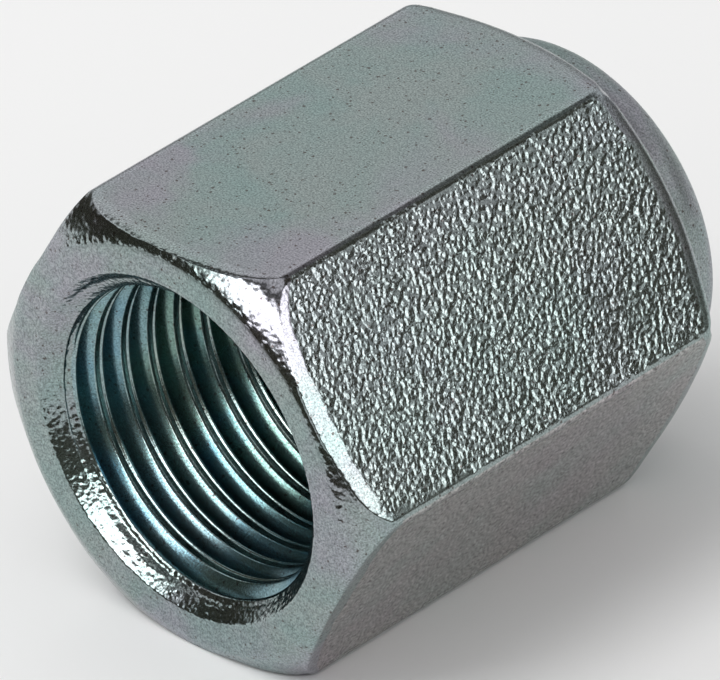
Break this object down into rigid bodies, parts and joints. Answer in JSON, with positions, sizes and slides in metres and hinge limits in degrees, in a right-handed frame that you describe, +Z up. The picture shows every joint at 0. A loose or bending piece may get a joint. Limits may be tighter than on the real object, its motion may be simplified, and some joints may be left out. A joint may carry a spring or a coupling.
{
  "type": "flare nut",
  "caption": "Steel hexagonal flare nut with an internal thread at its mouth, a tapered seat inside, and a short round collar with a hole for the tube.",
  "frame": {"origin": "on the axis of the thread, midway between the mouth face and the end of the collar", "axes": "+Y along the axis from the threaded mouth to the collar; +Z up, square to the flat that the nut lies on; +X towards a corner of the hexagon"},
  "size_m": [0.0182, 0.02, 0.0158],
  "materials": {
    "zinc_plate": "bright zinc plate on cold-formed steel, satin on the faces and glittering on the pressed flats, with faint teal and violet tints"
  },
  "bodies": {
    "root": {"nut": "zinc_plate"}
  },
  "joints": []
}
